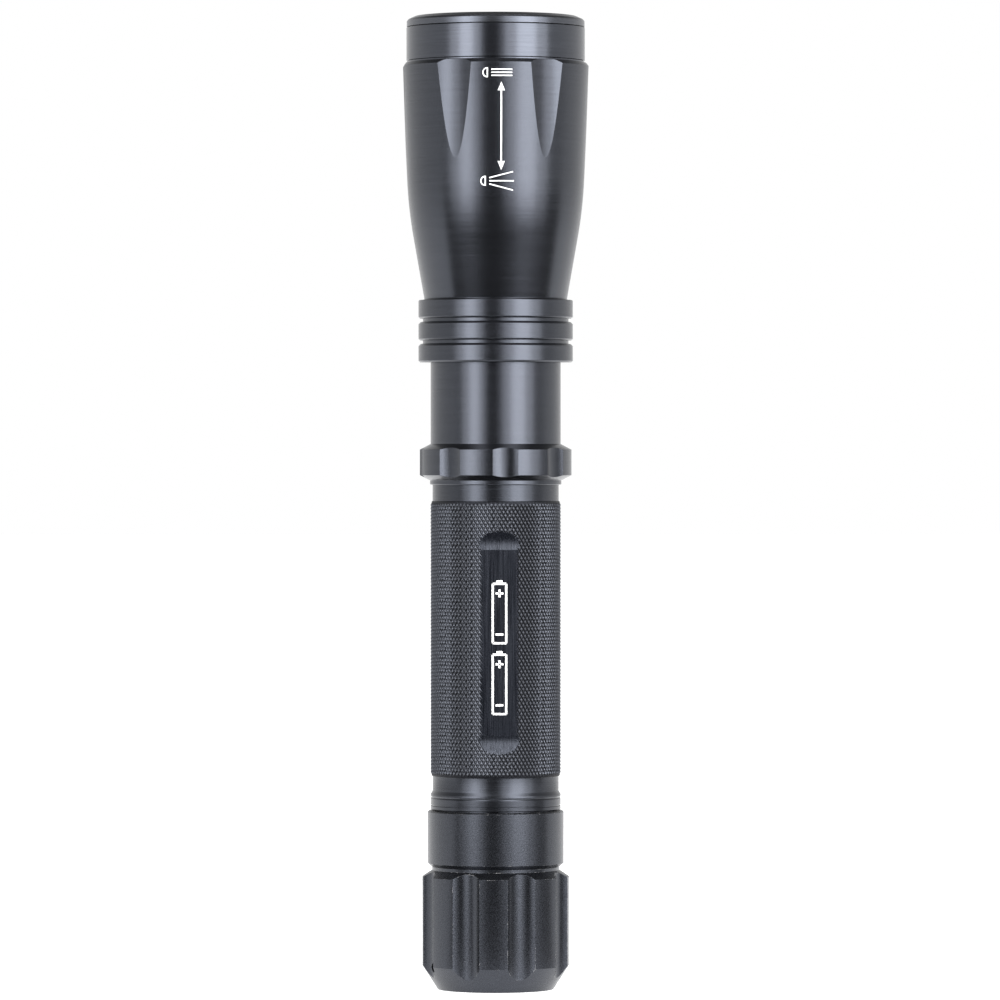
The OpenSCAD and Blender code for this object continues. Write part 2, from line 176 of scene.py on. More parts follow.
# Arrow and beam signs on the head
HEAD_TOP = top_of("head_shell")
ARROW_LOW = HEAD_TOP - 25.4
ARROW_HIGH = HEAD_TOP - 5.35
ARROW_HEAD = 2.0
ARROW_HEAD_WIDTH = 1.65
ARROW_TIP_WIDTH = 0.02
ARROW_SHAFT_WIDTH = 0.36
ARROW_OVERLAP = 0.4
NARROW_SIGN = HEAD_TOP - 3.25
WIDE_SIGN = HEAD_TOP - 27.9
SIGN_STROKE = 0.28
LAMP_R = 1.0
LAMP_INSET = 0.1
BEAM_START = 0.9
BEAM_SPACING = 0.7

# Battery outlines in the pocket
CELL_LOW = POCKET_LOW + 6.2
CELL_LENGTH = 13.6
CELL_GAP = 2.6
CELL_HALF_WIDTH = 1.55
CELL_STROKE = 0.5
TERMINAL_HALF_WIDTH = 0.7
TERMINAL_LIFT = 0.5
TERMINAL_STROKE = 0.6
SIGN_ARM = 0.9
PLUS_DROP = 2.2
MINUS_RISE = 2.0

# Round shading of the turned nodes: angles within which faces share a patch, a normal, and count as turned
PATCH_ANGLE = 7
SHARE_ANGLE = 12
TURNED_ANGLE = 3

# Angles over which an edge is drawn sharp
FLAT_CREASE = 6
TUBE_CREASE = 25
THREAD_CREASE = 30
BOOT_CREASE = 50

# Points closer than this are one point, in metres
WELD = 1e-6
PRINT_WELD = 1e-7


# ---------------------------------------------------------------- mesh helpers


def add_object(name, data):
    """New object in the scene."""
    obj = bpy.data.objects.new(name, data)
    bpy.context.scene.collection.objects.link(obj)
    return obj


def mesh_object(name, verts, faces, smooth=True):
    """New object from points in millimetres."""
    mesh = bpy.data.meshes.new(name)
    mesh.from_pydata([(x * MM, y * MM, z * MM) for x, y, z in verts], [], faces)
    mesh.validate()
    mesh.polygons.foreach_set("use_smooth", [smooth] * len(mesh.polygons))
    return add_object(name, mesh)


def polar(radius, turn, height):
    """Point at an angle from the -Y side, positive towards +X."""
    return (radius * math.sin(turn), -radius * math.cos(turn), height)


def lathe_rings(rings, columns):
    """Points and faces of a closed surface. Each ring is a function from column to (radius, height)."""
    verts = []
    for ring in rings:
        for i in range(columns):
            radius, height = ring(i)
            verts.append(polar(radius, 2 * math.pi * i / columns, height))
    faces = []
    count = len(rings)
    for k in range(count):
        low, high = k * columns, (k + 1) % count * columns
        for i in range(columns):
            j = (i + 1) % columns
            faces.append((low + i, low + j, high + j, high + i))
    return verts, faces


def plain_rings(profile):
    """Rings that are the same all round, one for each (radius, height) of a profile."""
    return [lambda i, spot=spot: spot for spot in profile]


def square_groove(radius, depth, low, high, lean):
    """Profile of a groove between two heights, whose walls rise by the lean."""
    floor_r = radius - depth
    return [(radius, low), (floor_r, low + lean), (floor_r, high - lean), (radius, high)]


def face_outward(obj):
    """Turns the faces of a closed mesh outward."""
    mesh = bmesh.new()
    mesh.from_mesh(obj.data)
    bmesh.ops.recalc_face_normals(mesh, faces=mesh.faces)
    mesh.to_mesh(obj.data)
    mesh.free()
    return obj


def shade_by_angle(obj, degrees):
    """Smooth shading that keeps edges sharper than the angle."""
    mesh = obj.data
    mesh.polygons.foreach_set("use_smooth", [True] * len(mesh.polygons))
    mesh.set_sharp_from_angle(angle=math.radians(degrees))


def is_upright(face):
    """Whether a face stands parallel to the light's axis, as the scallops and flutes do."""
    return abs(face.normal.z) < 0.001


def smooth_patches(work, limit):
    """Groups the faces of a mesh that join at less than an angle in degrees, upright faces apart."""
    patches, done = [], set()
    for seed in work.faces:
        if seed.index in done:
            continue
        done.add(seed.index)
        patch = [seed]
        for face in patch:
            for edge in face.edges:
                soft = edge.calc_face_angle(math.pi) < math.radians(limit)
                for near in edge.link_faces:
                    if soft and near.index not in done and is_upright(near) == is_upright(seed):
                        done.add(near.index)
                        patch.append(near)
        patches.append(patch)
    return patches


def off_radial(face):
    """Angle in degrees by which a face looks past the light's axis, or none if it faces along the axis."""
    middle = face.calc_center_median()
    level = Vector((face.normal.x, face.normal.y))
    if level.length < 0.1:
        return 0
    turn = math.degrees(level.angle(Vector((middle.x, middle.y)), 0))
    return min(turn, 180 - turn)


def turned_faces(work):
    """Indexes of the faces whose patch faces straight out from the light's axis, as a lathe leaves it."""
    turned = set()
    for patch in smooth_patches(work, PATCH_ANGLE):
        area = sum(face.calc_area() for face in patch)
        off = sum(off_radial(face) * face.calc_area() for face in patch)
        if off < TURNED_ANGLE * area:
            turned.update(face.index for face in patch)
    return turned


def corner_normal(face, vert, turned):
    """Normal of a face at a corner: shared with its kin, and straight out from the axis if it is turned."""
    is_turned = face.index in turned
    soft = math.cos(math.radians(SHARE_ANGLE))
    kin = [f for f in vert.link_faces if (f.index in turned) == is_turned]
    near = [f for f in kin if f.normal.dot(face.normal) > soft]
    normal = sum((f.normal * f.calc_area() for f in near), Vector()).normalized()
    level = Vector((face.normal.x, face.normal.y, 0))
    if not is_turned or level.length <= 0.1:
        return normal
    ray = Vector((vert.co.x, vert.co.y, 0)).normalized()
    spread = math.copysign(Vector((normal.x, normal.y)).length, level.dot(ray))
    return ray * spread + Vector((0, 0, normal.z))


def round_skin(node):
    """Copy of a turned node, shaded as the true round surface in place of its flat facets."""
    work = bmesh.new()
    work.from_mesh(NODES[node].data)
    bmesh.ops.remove_doubles(work, verts=work.verts, dist=WELD)
    bmesh.ops.dissolve_degenerate(work, dist=WELD, edges=work.edges)
    work.normal_update()
    work.faces.index_update()
    turned = turned_faces(work)
    normals = [corner_normal(face, vert, turned) for face in work.faces for vert in face.verts]
    mesh = bpy.data.meshes.new(node + "_skin")
    work.to_mesh(mesh)
    work.free()
    mesh.polygons.foreach_set("use_smooth", [True] * len(mesh.polygons))
    mesh.normals_split_custom_set(normals)
    return add_object(node + "_skin", mesh)


def coil_copy(node):
    """Copy of a spring's node, on a mesh of its own."""
    return add_object(node + "_coil", NODES[node].data.copy())


def bake_modifiers(obj):
    """Applies an object's modifiers to its mesh."""
    graph = bpy.context.evaluated_depsgraph_get()
    done = bpy.data.meshes.new_from_object(obj.evaluated_get(graph))
    obj.modifiers.clear()
    obj.data = done


def subtract(obj, cutters):
    """Cuts closed meshes out of an object and removes them."""
    for cutter in cutters:
        cut = obj.modifiers.new("cut", "BOOLEAN")
        cut.operation = "DIFFERENCE"
        cut.object = cutter
        cut.solver = "EXACT"
        bake_modifiers(obj)
        bpy.data.objects.remove(cutter)


# ---------------------------------------------------------------- tube


def knurl_height(i, j):
    """Height of the knurl, 0 to 1, at a grid point: two families of grooves that cross in diamonds."""
    across = [(i + j) % KNURL_STEPS, (i - j) % KNURL_STEPS]
    half = KNURL_STEPS / 2
    slopes = [1 - abs(a - half) / half for a in across]
    return min(min(slopes), KNURL_CREST)


def knurl_rings(start, rows):
    """Rings of the knurl, which starts and ends in its grooves."""

    def knurl_ring(j):
        fade = min(1, min(j, rows - j) / KNURL_FADE_ROWS)

        def ring(i):
            level = knurl_height(i, j) if 0 < j < rows else 0
            return GRIP_R - KNURL_DEPTH * (1 - level * fade), start + j * KNURL_PITCH / KNURL_STEPS

        return ring

    return [knurl_ring(j) for j in range(rows + 1)]


def land_profile():
    """Outline of the tube from its tail flange to the waist."""
    chamfer = [(LAND_R - LAND_CHAMFER, FLANGE), (LAND_R, FLANGE + LAND_CHAMFER)]
    groove = square_groove(LAND_R, LAND_GROOVE_DEPTH, LAND_GROOVE_LOW, LAND_GROOVE_HIGH, LAND_GROOVE_LEAN)
    score = [
        (LAND_R, FLANGE + 2.55),
        (LAND_R - SCORE_DEPTH, FLANGE + 2.8),
        (LAND_R - SCORE_DEPTH, FLANGE + 2.9),
        (LAND_R, FLANGE + 3.12),
    ]
    shoulder = [
        (LAND_R, FLANGE + 3.5),
        (LAND_R - 0.05, FLANGE + 3.65),
        (WAIST_R + 0.03, FLANGE + 4.25),
        (WAIST_R, FLANGE + 4.4),
    ]
    return chamfer + groove + score + shoulder


def neck_thread_profile():
    """Outline of the tube's end inside the neck, with its seal groove."""
    outer = NECK_THREAD_R
    groove = square_groove(outer, NECK_GROOVE_DEPTH, NECK_GROOVE_LOW, NECK_GROOVE_HIGH, SEAL_GROOVE_LEAN)
    end = [(outer, TUBE_TOP - END_CHAMFER), (outer - END_CHAMFER, TUBE_TOP), (TUBE_BORE_R, TUBE_TOP)]
    return [(outer, SHOULDER)] + groove + end


def split_quads(quads, verts, first, last):
    """Cuts the four-sided faces of the knurl along their flatter diagonal; the others stay."""
    faces = []
    radius = [math.hypot(x, y) for x, y, z in verts]
    for quad in quads:
        a, b, c, d = quad
        if not first <= a < last:
            faces.append(quad)
        elif abs(radius[a] - radius[c]) < abs(radius[b] - radius[d]):
            faces += [(a, b, c), (a, c, d)]
        else:
            faces += [(a, b, d), (b, c, d)]
    return faces


def grip_tube():
    """The knurled tube from its tail flange to the thread under the neck, without the pocket."""
    columns = KNURL_COUNT * KNURL_STEPS
    row_step = KNURL_PITCH / KNURL_STEPS
    rows = int((KNURL_HIGH - KNURL_LOW) / row_step)
    start = KNURL_LOW + (KNURL_HIGH - KNURL_LOW - rows * row_step) / 2
    end = start + rows * row_step

    lower = [(TUBE_BORE_R, FLANGE)] + land_profile() + [(WAIST_R, start - KNURL_RUNOUT)]
    upper = [(WAIST_R, end + KNURL_RUNOUT), (WAIST_R, SHOULDER)] + neck_thread_profile()
    rings = plain_rings(lower) + knurl_rings(start, rows) + plain_rings(upper)
    verts, quads = lathe_rings(rings, columns)
    first = len(lower) * columns
    return mesh_object("grip_tube", verts, split_quads(quads, verts, first, first + rows * columns))


def x_cylinder(name, radius, half_width, y, z, sides=96):
    """Closed cylinder along X, as a cutter."""
    verts = []
    for x in (-half_width, half_width):
        for k in range(sides):
            turn = 2 * math.pi * k / sides
            verts.append((x, y + radius * math.cos(turn), z + radius * math.sin(turn)))
    faces = [tuple(range(sides)), tuple(reversed(range(sides, 2 * sides)))]
    for k in range(sides):
        n = (k + 1) % sides
        faces.append((k, k + sides, n + sides, n))
    return face_outward(mesh_object(name, verts, faces))


def box_between(name, low, high):
    """Closed box between two corners, as a cutter."""
    verts = [(x, y, z) for x in (low[0], high[0]) for y in (low[1], high[1]) for z in (low[2], high[2])]
    faces = [(0, 1, 3, 2), (4, 6, 7, 5), (0, 4, 5, 1), (2, 3, 7, 6), (0, 2, 6, 4), (1, 5, 7, 3)]
    return face_outward(mesh_object(name, verts, faces))


def pocket_cutters():
    """The flat of the pocket, and the trough across each of its ends."""
    flat = box_between(
        "pocket_flat",
        (-POCKET_HALF_WIDTH, -GRIP_R - 1, POCKET_LOW),
        (POCKET_HALF_WIDTH, -GRIP_R + POCKET_FLAT, POCKET_HIGH),
    )
    y = -GRIP_R + TROUGH_DEPTH - TROUGH_R
    troughs = [x_cylinder("trough", TROUGH_R, POCKET_HALF_WIDTH, y, z) for z in (POCKET_LOW, POCKET_HIGH)]
    return [flat] + troughs


# Material slots of the tube
LANDS, KNURL, FLAT, TROUGH = range(4)


def tube_zone(face):
    """Material slot of one of the tube's faces, told by its place and by the way it looks."""
    x, y, z = face.calc_center_median() / MM
    in_pocket = POCKET_LOW - TROUGH_R < z < POCKET_HIGH + TROUGH_R and abs(x) < POCKET_HALF_WIDTH
    near_skin = -GRIP_R < y < -TAIL_THREAD_R
    level_across = abs(face.normal.x) < 0.0001
    if in_pocket and near_skin and level_across:
        return TROUGH if abs(face.normal.z) > 0.02 else FLAT
    in_knurl = KNURL_LOW - KNURL_MARGIN < z < KNURL_HIGH + KNURL_MARGIN
    return KNURL if in_knurl and math.hypot(x, y) > TAIL_THREAD_R else LANDS


def mark_tube(tube):
    """Gives the tube's faces their materials, with crisp edges between them."""
    work = bmesh.new()
    work.from_mesh(tube.data)
    for face in work.faces:
        face.material_index = tube_zone(face)
        face.smooth = True
    for edge in work.edges:
        zones = {face.material_index for face in edge.link_faces}
        limit = FLAT_CREASE if zones == {FLAT} else TUBE_CREASE
        edge.smooth = len(zones) == 1 and math.degrees(edge.calc_face_angle(0)) < limit
    work.to_mesh(tube.data)
    work.free()


def thread_rings():
    """Rings of the tail thread, which fades in and out over a turn."""
    rows = THREAD_TURNS * THREAD_STEPS

    def thread_ring(j):
        height = THREAD_LOW + j * THREAD_PITCH / THREAD_STEPS
        fade = min(1, min(j, rows - j) / THREAD_STEPS)

        def ring(i):
            phase = (height / THREAD_PITCH + i / THREAD_COLUMNS) % 1
            tooth = min(1, max(0, TOOTH_SLOPE * (1 - abs(2 * phase - 1)) - TOOTH_ROOT))
            return TAIL_THREAD_R - THREAD_DEPTH * fade * (1 - tooth), height

        return ring

    return [thread_ring(j) for j in range(rows + 1)]


def tail_thread():
    """The threaded tail end of the tube, with its seal groove."""
    outer = TAIL_THREAD_R
    end = [(TUBE_BORE_R, TUBE_END), (outer - END_CHAMFER, TUBE_END), (outer - 0.1, TUBE_END + 0.5)]
    groove = square_groove(outer, TAIL_GROOVE_DEPTH, TAIL_GROOVE_LOW, TAIL_GROOVE_HIGH, SEAL_GROOVE_LEAN)
    root = [(outer, FLANGE), (TUBE_BORE_R, FLANGE)]
    rings = plain_rings(end) + thread_rings() + plain_rings(groove + root)
    return mesh_object("tail_thread", *lathe_rings(rings, THREAD_COLUMNS))


# ---------------------------------------------------------------- boot


def dome_profile(radius, tip, count, rib=0.0):
    """Points from near the axis to the wall of a shallow dome, with raised rings of a height on it."""
    height = BOOT_SPRING_LINE - tip
    ball = (radius * radius + height * height) / (2 * height)
    points = []
    for k in range(count + 1):
        r = radius * k / count
        z = tip + ball - math.sqrt(ball * ball - r * r)
        ripple = rib * max(0, math.cos(2 * math.pi * r / RIB_PITCH)) if RIB_INNER_R < r < RIB_OUTER_R else 0
        points.append((max(r, DOME_TIP_R), z + rib - ripple))
    return points


def button_boot():
    """The rubber boot: a rim clamped under the switch, and a hollow ribbed dome in the tail recess."""
    inner_r = BOOT_R - BOOT_WALL
    outer = dome_profile(BOOT_R, BOOT_TIP, DOME_STEPS, RIB_HEIGHT)
    inner = dome_profile(inner_r, BOOT_TIP + BOOT_WALL, LINING_STEPS)
    wall = [(BOOT_R, BOOT_SPRING_LINE + 0.7 * k) for k in range(1, 6)]
    rim = [(BOOT_R, WEB_TOP), (BOOT_RIM_R, WEB_TOP), (BOOT_RIM_R, BOOT_RIM), (inner_r, BOOT_RIM)]
    lining = [(inner_r, BOOT_RIM - 0.9 * k) for k in range(1, 6)]
    profile = outer + wall + rim + lining + inner[::-1]
    return mesh_object("button_boot", *lathe_rings(plain_rings(profile), BOOT_COLUMNS))


# ---------------------------------------------------------------- printed marks


class Surface:
    """Outer surface of a node, hit by rays along +Y."""

    def __init__(self, obj):
        mesh = bmesh.new()
        mesh.from_mesh(obj.data)
        self.tree = BVHTree.FromBMesh(mesh)
        mesh.free()

    def at(self, x, z, lift):
        """Point of the surface at x, z, raised by lift along its normal, in millimetres."""
        start = Vector((x * MM, RAY_START * MM, z * MM))
        spot, normal, _, _ = self.tree.ray_cast(start, Vector((0, 1, 0)))
        return tuple(spot / MM + normal * lift)


def strip(start, end, width, end_width=None):
    """Grid of a straight stroke, as rows of points across it. A zero end width makes a point."""
    end_width = width if end_width is None else end_width
    along = Vector(end) - Vector(start)
    side = Vector((-along.y, along.x)).normalized()
    count = max(1, math.ceil(along.length / PRINT_STEP))
    across = max(1, math.ceil(max(width, end_width) / PRINT_STEP))
    rows = []
    for k in range(count + 1):
        centre = Vector(start) + along * (k / count)
        half = (width + (end_width - width) * k / count) / 2
        rows.append([centre + side * half * (2 * m / across - 1) for m in range(across + 1)])
    return rows


def arc_strip(centre, radius, width, start, end):
    """Grid of a curved stroke, between two angles from the x axis."""
    count = max(2, math.ceil(abs(math.radians(end - start)) * radius / PRINT_STEP * 2))
    rows = []
    for k in range(count + 1):
        turn = math.radians(start + (end - start) * k / count)
        ray = Vector((math.cos(turn), math.sin(turn)))
        rows.append([Vector(centre) + ray * (radius + width * side) for side in (-0.5, 0.5)])
    return rows


def printed(name, surface, grids):
    """Thin closed solids over a surface, one for each grid of a stroke."""
    verts, faces = [], []
    for rows in grids:
        first = len(verts)
        high, wide = len(rows), len(rows[0])
        for lift in (PRINT_LIFT, PRINT_LIFT + PRINT_THICKNESS):
            for row in rows:
                verts += [surface.at(p.x, p.y, lift) for p in row]
        level = high * wide

        def at(layer, k, m):
            return first + layer * level + k * wide + m

        for k in range(high - 1):
            for m in range(wide - 1):
                ring = [(k, m), (k, m + 1), (k + 1, m + 1), (k + 1, m)]
                faces.append(tuple(at(1, *c) for c in ring))
                faces.append(tuple(at(0, *c) for c in reversed(ring)))
        rim = [(0, m) for m in range(wide)] + [(k, wide - 1) for k in range(1, high)]
        rim += [(high - 1, m) for m in range(wide - 2, -1, -1)] + [(k, 0) for k in range(high - 2, 0, -1)]
        for a, b in zip(rim, rim[1:] + rim[:1]):
            faces.append((at(0, *a), at(0, *b), at(1, *b), at(1, *a)))
    obj = mesh_object(name, verts, faces, smooth=False)
    mesh = bmesh.new()
    mesh.from_mesh(obj.data)
    bmesh.ops.remove_doubles(mesh, verts=mesh.verts, dist=PRINT_WELD)
    bmesh.ops.recalc_face_normals(mesh, faces=mesh.faces)
    mesh.to_mesh(obj.data)
    mesh.free()
    return obj


def focus_marks(surface):
    """Double-headed arrow along the head, with a narrow-beam sign above it and a wide-beam sign below."""
    inset = ARROW_HEAD - ARROW_OVERLAP
    grids = [
        strip((0, ARROW_LOW + inset), (0, ARROW_HIGH - inset), ARROW_SHAFT_WIDTH),
        strip((0, ARROW_LOW + ARROW_HEAD), (0, ARROW_LOW), ARROW_HEAD_WIDTH, ARROW_TIP_WIDTH),
        strip((0, ARROW_HIGH - ARROW_HEAD), (0, ARROW_HIGH), ARROW_HEAD_WIDTH, ARROW_TIP_WIDTH),
    ]
    grids += beam_sign(NARROW_SIGN, length=6.6, spread=0)
    grids += beam_sign(WIDE_SIGN, length=7.4, spread=0.26)
    return printed("focus_marks", surface, grids)


def beam_sign(z, length, spread):
    """Outline of a lamp with three beams of equal length, parallel or spreading."""
    lamp_x = -length / 2 + LAMP_INSET
    half = LAMP_R + SIGN_STROKE / 2
    grids = [
        arc_strip((lamp_x, z), LAMP_R, SIGN_STROKE, 90, 270),
        strip((lamp_x, z - half), (lamp_x, z + half), SIGN_STROKE),
    ]
    for level in (-1, 0, 1):
        start = Vector((lamp_x + BEAM_START, z + level * BEAM_SPACING))
        reach = Vector((1, level * spread)).normalized() * (length - 2 * BEAM_START)
        grids.append(strip(start, start + reach, SIGN_STROKE))
    return grids


def cell_outline(low):
    """One cell standing at a height: its outline, the terminal on its top, a plus sign and a minus sign."""
    half, high = CELL_HALF_WIDTH, low + CELL_LENGTH
    terminal = high + TERMINAL_LIFT
    plus = high - PLUS_DROP
    minus = low + MINUS_RISE
    return [
        strip((-half, low), (half, low), CELL_STROKE),
        strip((-half, high), (half, high), CELL_STROKE),
        strip((-half, low), (-half, high), CELL_STROKE),
        strip((half, low), (half, high), CELL_STROKE),
        strip((-TERMINAL_HALF_WIDTH, terminal), (TERMINAL_HALF_WIDTH, terminal), TERMINAL_STROKE),
        strip((0, plus - SIGN_ARM), (0, plus + SIGN_ARM), CELL_STROKE),
        strip((-SIGN_ARM, plus), (SIGN_ARM, plus), CELL_STROKE),
        strip((-SIGN_ARM, minus), (SIGN_ARM, minus), CELL_STROKE),
    ]


def battery_marks(surface):
    """Two cells end to end in outline, on the flat of the pocket."""
    grids = cell_outline(CELL_LOW) + cell_outline(CELL_LOW + CELL_LENGTH + CELL_GAP)
    return printed("battery_marks", surface, grids)


# ---------------------------------------------------------------- materials

# The Mix node's colour sockets, by number because its other sockets have the same names
MIX_FIRST, MIX_SECOND, MIX_RESULT = 6, 7, 2

# Black anodising: how it reflects, its colours, and the metal worn bare at its edges, whose colour is partly
# a painted highlight
ANODISE_IOR = 1.75
ANODISE_TINT = (0.78, 0.84, 1.0, 1)
BLACK = (0.0035, 0.0037, 0.0043, 1)
NAVY = (0.0025, 0.0030, 0.0048, 1)
WARM_BLACK = (0.007, 0.007, 0.0072, 1)
BARE_METAL_AND_GLINT = (0.55, 0.54, 0.55, 1)
EDGE_ROUNDING = 0.1
WEAR_AND_GLINT_WIDTH = 0.3


def toned(colour, share):
    """Colour made darker or lighter by a share."""
    return tuple(c * share for c in colour[:3]) + (1,)


class Nodes:
    """Short way to write a node tree."""

    def __init__(self, name):
        self.material = bpy.data.materials.new(name)
        self.material.use_nodes = True
        self.tree = self.material.node_tree
        self.shader = self.tree.nodes["Principled BSDF"]

    def add(self, kind, **settings):
        """New node, with its settings or the constants of its inputs."""
        node = self.tree.nodes.new("ShaderNode" + kind)
        for key, value in settings.items():
            if hasattr(node, key):
                setattr(node, key, value)
            else:
                node.inputs[key.replace("_", " ")].default_value = value
        return node

    def link(self, source, target):
        """Link from an output to an input."""
        self.tree.links.new(source, target)

    def place(self, scale=(1, 1, 1)):
        """Position on the object in millimetres, scaled along each axis."""
        coordinates = self.add("TexCoord")
        mapping = self.add("Mapping")
        mapping.inputs["Scale"].default_value = [s / MM for s in scale]
        self.link(coordinates.outputs["Object"], mapping.inputs["Vector"])
        return mapping.outputs["Vector"]

    def noise(self, place, scale, detail=3.0, rough=0.55):
        """Noise from 0 to 1; the larger the scale, the finer it is."""
        node = self.add("TexNoise", Scale=scale, Detail=detail, Roughness=rough)
        self.link(place, node.inputs["Vector"])
        return node.outputs["Fac"]

    def ramp(self, source, low, high, start=0.35, end=0.65):
        """Value or colour that goes from low to high between two levels of the source."""
        node = self.add("ValToRGB")
        stops = node.color_ramp.elements
        stops[0].position, stops[1].position = start, end
        stops[0].color = low if isinstance(low, tuple) else (low, low, low, 1)
        stops[1].color = high if isinstance(high, tuple) else (high, high, high, 1)
        self.link(source, node.inputs["Fac"])
        return node.outputs["Color"]

    def mix(self, share, first, second):
        """Colour mix: first where share is 0, second where it is 1."""
        node = self.add("Mix", data_type="RGBA")
        self.link(share, node.inputs["Factor"])
        for value, socket in ((first, node.inputs[MIX_FIRST]), (second, node.inputs[MIX_SECOND])):
            if isinstance(value, tuple):
                socket.default_value = value
            else:
                self.link(value, socket)
        return node.outputs[MIX_RESULT]

    def times(self, first, second):
        """Product of an output and a constant or another output."""
        node = self.add("Math", operation="MULTIPLY")
        self.link(first, node.inputs[0])
        if isinstance(second, (int, float)):
            node.inputs[1].default_value = second
        else:
            self.link(second, node.inputs[1])
        return node.outputs[0]

    def bump(self, height, distance, under=None):
        """Bump of a distance in millimetres; under is a bump that it lies on."""
        node = self.add("Bump", Strength=1.0, Distance=distance * MM)
        self.link(height, node.inputs["Height"])
        if under is not None:
            self.link(under, node.inputs["Normal"])
        return node.outputs["Normal"]

    def edge_wear_and_glint(self, radius, place):
        """Share of bare-metal colour, partly worn edges and partly a painted highlight: high only where the
        surface bends sharply, broken up by noise.
        """
        bevel = self.add("Bevel", samples=6, Radius=radius * MM)
        geometry = self.add("NewGeometry")
        dot = self.add("VectorMath", operation="DOT_PRODUCT")
        self.link(bevel.outputs["Normal"], dot.inputs[0])
        self.link(geometry.outputs["Normal"], dot.inputs[1])
        edge = self.ramp(dot.outputs["Value"], 1.0, 0.0, start=0.90, end=0.985)
        patches = self.ramp(self.noise(place, 0.9, detail=4.0, rough=0.7), 0.0, 1.0, start=0.54, end=0.68)
        return self.times(edge, patches)

    def set(self, **values):
        """Constant or linked inputs of the shader."""
        for key, value in values.items():
            socket = self.shader.inputs[key.replace("_", " ")]
            if isinstance(value, bpy.types.NodeSocket):
                self.link(value, socket)
            else:
                socket.default_value = value
        return self.material


def anodised(
    name, colour, roughness, level, grain, turning=0.0, wear_and_glint=0.0, stretch=(1, 1, 1), streak=0.1
):
    """Black anodised aluminium: level is its shine, streak the shine's spread, and the wear share the
    bare-metal colour at sharp edges, partly worn edges and partly a painted highlight along them.

    Grain and turning are bumps in millimetres. Stretch draws the grain out along an axis.
    """
    n = Nodes(name)
    place = n.place()
    fine = n.noise(n.place(stretch), 3.4)
    broad = n.noise(place, 0.12, detail=2.0)
    dark = n.mix(n.ramp(broad, 0.0, 1.0), toned(colour, 0.8), colour)
    base = n.mix(n.ramp(fine, 0.0, 1.0), dark, toned(colour, 1.25))
    lines = n.noise(n.place((0.015, 0.015, 1)), 3.0, detail=5.0, rough=0.8) if turning else fine
    edge = n.add("Bevel", samples=4, Radius=EDGE_ROUNDING * MM).outputs["Normal"]
    turned = n.bump(lines, turning, under=edge) if turning else edge
    # Bare-metal colour at sharp edges: partly worn edges, partly a painted highlight along them.
    if wear_and_glint:
        bare = n.times(n.edge_wear_and_glint(WEAR_AND_GLINT_WIDTH, place), wear_and_glint)
        base = n.mix(bare, base, BARE_METAL_AND_GLINT)
    return n.set(
        Base_Color=base,
        Roughness=n.ramp(lines, roughness - 0.03, roughness + 0.03),
        Normal=n.bump(fine, grain, under=turned),
        IOR=ANODISE_IOR,
        Specular_IOR_Level=n.ramp(lines, level * (1 - streak), level * (1 + streak)),
        Specular_Tint=ANODISE_TINT,
    )


def knurled(name, pit, peak):
    """Anodised knurl between two radii in millimetres, with painted shade in the grooves and a painted
    highlight on the points: darker and duller towards the grooves, brighter towards the points.
    """
    n = Nodes(name)
    around = n.add("VectorMath", operation="LENGTH")
    n.link(n.place((1, 1, 0)), around.inputs[0])
    height = n.add("MapRange", From_Min=pit, From_Max=peak)
    n.link(around.outputs["Value"], height.inputs["Value"])
    height = height.outputs["Result"]
    fine = n.noise(n.place(), 2.6)
    return n.set(
        # Painted shade and painted highlight: colour and shine rise by radius from the grooves to the points.
        Base_Color=n.ramp(height, (0.003, 0.003, 0.0036, 1), (0.050, 0.051, 0.056, 1), start=0.25, end=1.0),
        Roughness=n.ramp(fine, 0.40, 0.48),
        Normal=n.bump(fine, 0.004),
        IOR=ANODISE_IOR,
        Specular_IOR_Level=n.ramp(height, 0.12, 0.85, start=0.1, end=0.95),
        Specular_Tint=ANODISE_TINT,
    )


def metal(name, colour, roughness, scratch=0.004):
    """Plain or plated metal with fine turning lines."""
    n = Nodes(name)
    lines = n.noise(n.place((0.05, 0.05, 1)), 5.0, detail=4.0, rough=0.7)
    base = n.mix(n.ramp(lines, 0.0, 1.0), toned(colour, 0.82), colour)
    rough = n.ramp(n.noise(n.place(), 2.0), roughness - 0.05, roughness + 0.08)
    return n.set(Base_Color=base, Roughness=rough, Normal=n.bump(lines, scratch), Metallic=1.0)


def moulded(name, colour, roughness, grain=0.004, coat=0.0):
    """Moulded plastic, rubber or solder mask with a fine grain."""
    n = Nodes(name)
    fine = n.noise(n.place(), 6.0)
    broad = n.noise(n.place(), 0.4, detail=2.0)
    base = n.mix(n.ramp(broad, 0.0, 1.0), toned(colour, 0.85), colour)
    rough = n.ramp(fine, roughness - 0.05, roughness + 0.05)
    return n.set(Base_Color=base, Roughness=rough, Normal=n.bump(fine, grain), Coat_Weight=coat)


def clear(name, colour, ior):
    """Clear acrylic or silicone, with faint ripples from moulding."""
    n = Nodes(name)
    ripple = n.noise(n.place(), 0.25, detail=2.0)
    return n.set(
        Base_Color=colour,
        Roughness=n.ramp(ripple, 0.02, 0.04),
        Normal=n.bump(ripple, 0.002),
        IOR=ior,
        Transmission_Weight=1.0,
    )


def phosphor():
    """Yellow phosphor over a grid of LED dies."""
    n = Nodes("led_phosphor")
    place = n.place()
    grid = n.add("TexBrick", offset=0.0, Scale=1.0, Mortar_Size=0.03, Brick_Width=0.85, Row_Height=0.85)
    colours = {
        "Color1": (0.85, 0.62, 0.08, 1),
        "Color2": (0.8, 0.58, 0.07, 1),
        "Mortar": (0.5, 0.36, 0.05, 1),
    }
    for socket, colour in colours.items():
        grid.inputs[socket].default_value = colour
    n.link(place, grid.inputs["Vector"])
    return n.set(Base_Color=grid.outputs["Color"], Roughness=n.ramp(n.noise(place, 8.0), 0.45, 0.6))


